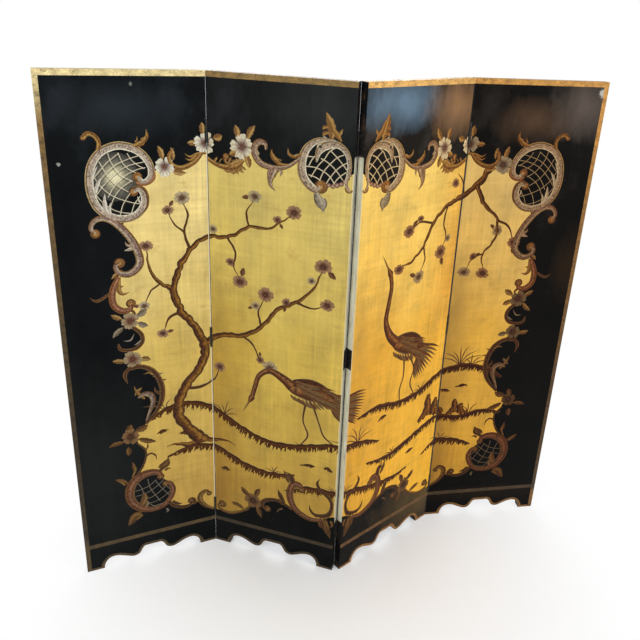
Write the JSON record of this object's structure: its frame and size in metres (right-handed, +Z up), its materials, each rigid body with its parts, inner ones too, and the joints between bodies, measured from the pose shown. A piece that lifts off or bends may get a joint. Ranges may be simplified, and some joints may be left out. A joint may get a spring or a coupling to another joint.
{
  "type": "folding screen",
  "caption": "Free-standing folding screen of hinged hollow panels with a painted gold field, lacquered scrollwork border and scalloped foot",
  "frame": {"origin": "middle of the screen's outline on the floor, with the screen at its pictured angles", "axes": "+X along the screen from its left end to its right end seen from the front, -Y towards the painted front, +Z up"},
  "size_m": [1.5532, 0.232, 1.524],
  "materials": {
    "frame_wood": "sawn softwood",
    "lacquered_board": "black lacquer",
    "black_lacquer": "polished black lacquer",
    "gold_leaf": "gold leaf on gesso, aged",
    "painted_relief": "painted and gilt gesso",
    "bronze_gilt": "aged bronze gilding",
    "hinge_black": "satin black",
    "screw_black": "satin black",
    "pin_steel": "dull"
  },
  "bodies": {
    "panel_1": {"panel_1_left_stile": "frame_wood", "panel_1_right_stile": "frame_wood", "panel_1_top_rail": "frame_wood", "panel_1_middle_rail": "frame_wood", "panel_1_apron_board": "lacquered_board", "panel_1_front_skin": "lacquered_board", "panel_1_back_skin": "lacquered_board", "panel_1_lacquer_ground": "black_lacquer", "panel_1_gold_field": "gold_leaf", "panel_1_scrollwork": "painted_relief", "panel_1_gilt_bands": "bronze_gilt", "fold_1_left_leaves": "hinge_black", "fold_1_left_screws": "screw_black", "fold_1_pins": "pin_steel"},
    "panel_2": {"panel_2_left_stile": "frame_wood", "panel_2_right_stile": "frame_wood", "panel_2_top_rail": "frame_wood", "panel_2_middle_rail": "frame_wood", "panel_2_apron_board": "lacquered_board", "panel_2_front_skin": "lacquered_board", "panel_2_back_skin": "lacquered_board", "panel_2_lacquer_ground": "black_lacquer", "panel_2_gold_field": "gold_leaf", "panel_2_scrollwork": "painted_relief", "panel_2_gilt_bands": "bronze_gilt", "fold_1_right_leaves": "hinge_black", "fold_1_right_screws": "screw_black", "fold_2_left_leaves": "hinge_black", "fold_2_left_screws": "screw_black", "fold_2_pins": "pin_steel"},
    "panel_3": {"panel_3_left_stile": "frame_wood", "panel_3_right_stile": "frame_wood", "panel_3_top_rail": "frame_wood", "panel_3_middle_rail": "frame_wood", "panel_3_apron_board": "lacquered_board", "panel_3_front_skin": "lacquered_board", "panel_3_back_skin": "lacquered_board", "panel_3_lacquer_ground": "black_lacquer", "panel_3_gold_field": "gold_leaf", "panel_3_scrollwork": "painted_relief", "panel_3_gilt_bands": "bronze_gilt", "fold_2_right_leaves": "hinge_black", "fold_2_right_screws": "screw_black", "fold_3_left_leaves": "hinge_black", "fold_3_left_screws": "screw_black", "fold_3_pins": "pin_steel"},
    "panel_4": {"panel_4_left_stile": "frame_wood", "panel_4_right_stile": "frame_wood", "panel_4_top_rail": "frame_wood", "panel_4_middle_rail": "frame_wood", "panel_4_apron_board": "lacquered_board", "panel_4_front_skin": "lacquered_board", "panel_4_back_skin": "lacquered_board", "panel_4_lacquer_ground": "black_lacquer", "panel_4_gold_field": "gold_leaf", "panel_4_scrollwork": "painted_relief", "panel_4_gilt_bands": "bronze_gilt", "fold_3_right_leaves": "hinge_black", "fold_3_right_screws": "screw_black"}
  },
  "joints": [
    {"name": "fold_1", "type": "hinge", "parent": "panel_2", "child": "panel_1", "pos_m": [-0.37107, 0.09055, 0], "axis": [0, 0, 1], "range_deg": [-39.3, 140.7]},
    {"name": "fold_2", "type": "hinge", "parent": "panel_2", "child": "panel_3", "pos_m": [-0.00735, -0.09282, 0], "axis": [0, 0, 1], "range_deg": [-56.4, 123.6]},
    {"name": "fold_3", "type": "hinge", "parent": "panel_3", "child": "panel_4", "pos_m": [0.36945, 0.0619, 0], "axis": [0, 0, 1], "range_deg": [-149.2, 30.8]}
  ]
}
